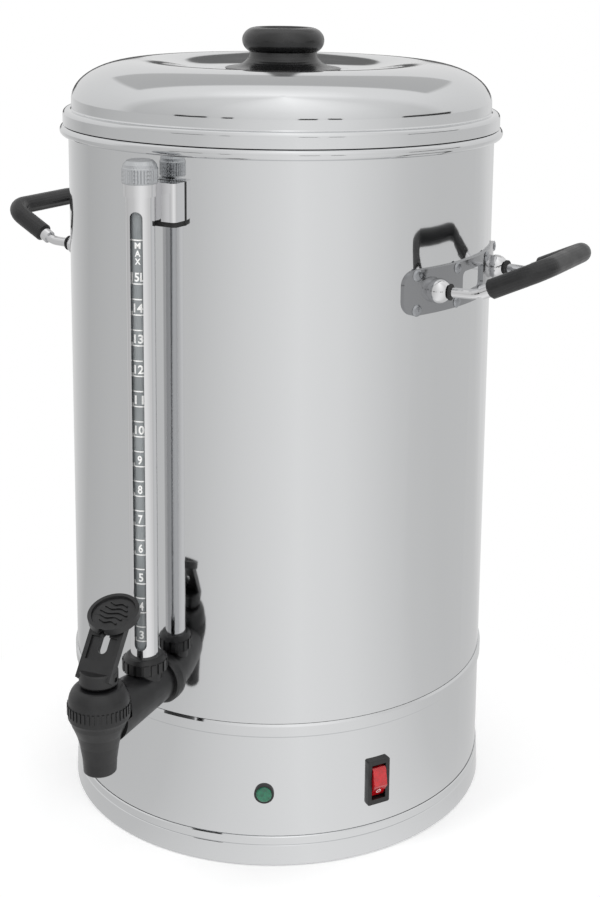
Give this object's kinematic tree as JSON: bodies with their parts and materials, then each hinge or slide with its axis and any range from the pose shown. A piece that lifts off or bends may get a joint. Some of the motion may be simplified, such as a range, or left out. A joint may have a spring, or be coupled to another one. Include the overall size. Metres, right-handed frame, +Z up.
{
  "type": "hot water urn",
  "caption": "Polished steel hot water urn with a domed lid, side handles, a level gauge in a slotted guard and a lever tap.",
  "frame": {"origin": "on the table, at the centre of the circle through the four feet", "axes": "+Z up, the tap and the gauge towards -Y, the lamp and the switch on the +X side"},
  "size_m": [0.402, 0.3563, 0.4969],
  "materials": {
    "polished_steel": "polished",
    "bare_steel": "matt",
    "bright_chrome": "polished",
    "fastener_steel": "satin",
    "black_plastic": "satin",
    "gloss_black": "gloss",
    "black_rubber": "matt",
    "silicone": "matt",
    "gauge_glass": "clear",
    "spreader_aluminium": "satin",
    "element_sheath": "satin",
    "insulation_felt": "matt",
    "sensor_ceramic": "satin",
    "terminal_plastic": "satin",
    "lead_insulation": "satin",
    "red_rocker": "translucent gloss",
    "green_lens": "translucent gloss"
  },
  "bodies": {
    "urn": {"tank_shell": "polished_steel", "tank_floor": "polished_steel", "base_housing": "polished_steel", "base_skirt": "polished_steel", "base_plate": "bare_steel", "base_brackets": "bare_steel", "rubber_feet": "black_rubber", "feet_screws": "fastener_steel", "heat_spreader": "spreader_aluminium", "heating_element": "element_sheath", "insulation_pad": "insulation_felt", "clamp_nut": "fastener_steel", "thermostat": "sensor_ceramic", "thermal_cutout": "sensor_ceramic", "terminal_block": "terminal_plastic", "internal_leads": "lead_insulation", "inlet_housing": "black_plastic", "inlet_pins": "fastener_steel", "inlet_screws": "fastener_steel", "switch_housing": "black_plastic", "switch_terminals": "fastener_steel", "lamp_lens": "green_lens", "lamp_body": "black_plastic", "lamp_nut": "terminal_plastic", "handle_plate_right": "polished_steel", "handle_plate_left": "polished_steel", "handle_rod_right": "bright_chrome", "handle_rod_left": "bright_chrome", "handle_grip_right": "black_plastic", "handle_grip_left": "black_plastic", "handle_bosses": "bright_chrome", "handle_rings": "black_rubber", "handle_ferrules": "bright_chrome", "handle_screws": "fastener_steel", "handle_nuts": "fastener_steel", "tap_body": "black_plastic", "tap_flange": "black_plastic", "tap_gaskets": "black_rubber", "tap_back_nut": "black_plastic", "tap_bonnet": "black_plastic", "tap_spring": "fastener_steel", "gauge_nut": "black_plastic", "gauge_lower_seal": "black_rubber", "gauge_glass": "gauge_glass", "gauge_guard": "bright_chrome", "gauge_bracket": "bright_chrome", "gauge_pad": "black_rubber", "bracket_screws": "fastener_steel", "gauge_upper_seal": "black_rubber"},
    "lid": {"lid_dome": "polished_steel", "lid_knob": "gloss_black", "knob_screw": "fastener_steel", "knob_washer": "fastener_steel"},
    "seat_cup": {"tap_seat_cup": "silicone"},
    "stem": {"tap_stem": "fastener_steel", "lever_pin": "fastener_steel"},
    "lever": {"tap_lever": "black_plastic"},
    "rocker": {"switch_rocker": "red_rocker"},
    "cap": {"gauge_cap": "bright_chrome"}
  },
  "joints": [
    {"name": "lid_lift", "type": "slide", "parent": "urn", "child": "lid", "axis": [0, 0, 1], "range_m": [0, 0.2]},
    {"name": "cup_lift", "type": "slide", "parent": "urn", "child": "seat_cup", "axis": [0, 0, 1], "range_m": [0, 0.0041], "stiffness_N_per_m": 400, "springref_m": -0.006, "deforming": ["tap_spring"]},
    {"name": "lever_swivel", "type": "hinge", "parent": "seat_cup", "child": "stem", "pos_m": [0, -0.1966, 0.12], "axis": [0, 0, 1], "range_deg": [-90, 90]},
    {"name": "lever_tilt", "type": "hinge", "parent": "stem", "child": "lever", "pos_m": [0, -0.1966, 0.14], "axis": [0.9898, 0.1426, 0], "range_deg": [0, 28]},
    {"name": "rocker_tilt", "type": "hinge", "parent": "urn", "child": "rocker", "pos_m": [0.11115, -0.07027, 0.0473], "axis": [-0.5344, -0.8453, 0], "range_deg": [0, 22]},
    {"name": "gauge_cap_lift", "type": "slide", "parent": "urn", "child": "cap", "axis": [0, 0, 1], "range_m": [0, 0.03]}
  ],
  "couplings": [
    {"joint": "lever_tilt", "follows": "cup_lift", "rad_per_m": 119.19}
  ]
}
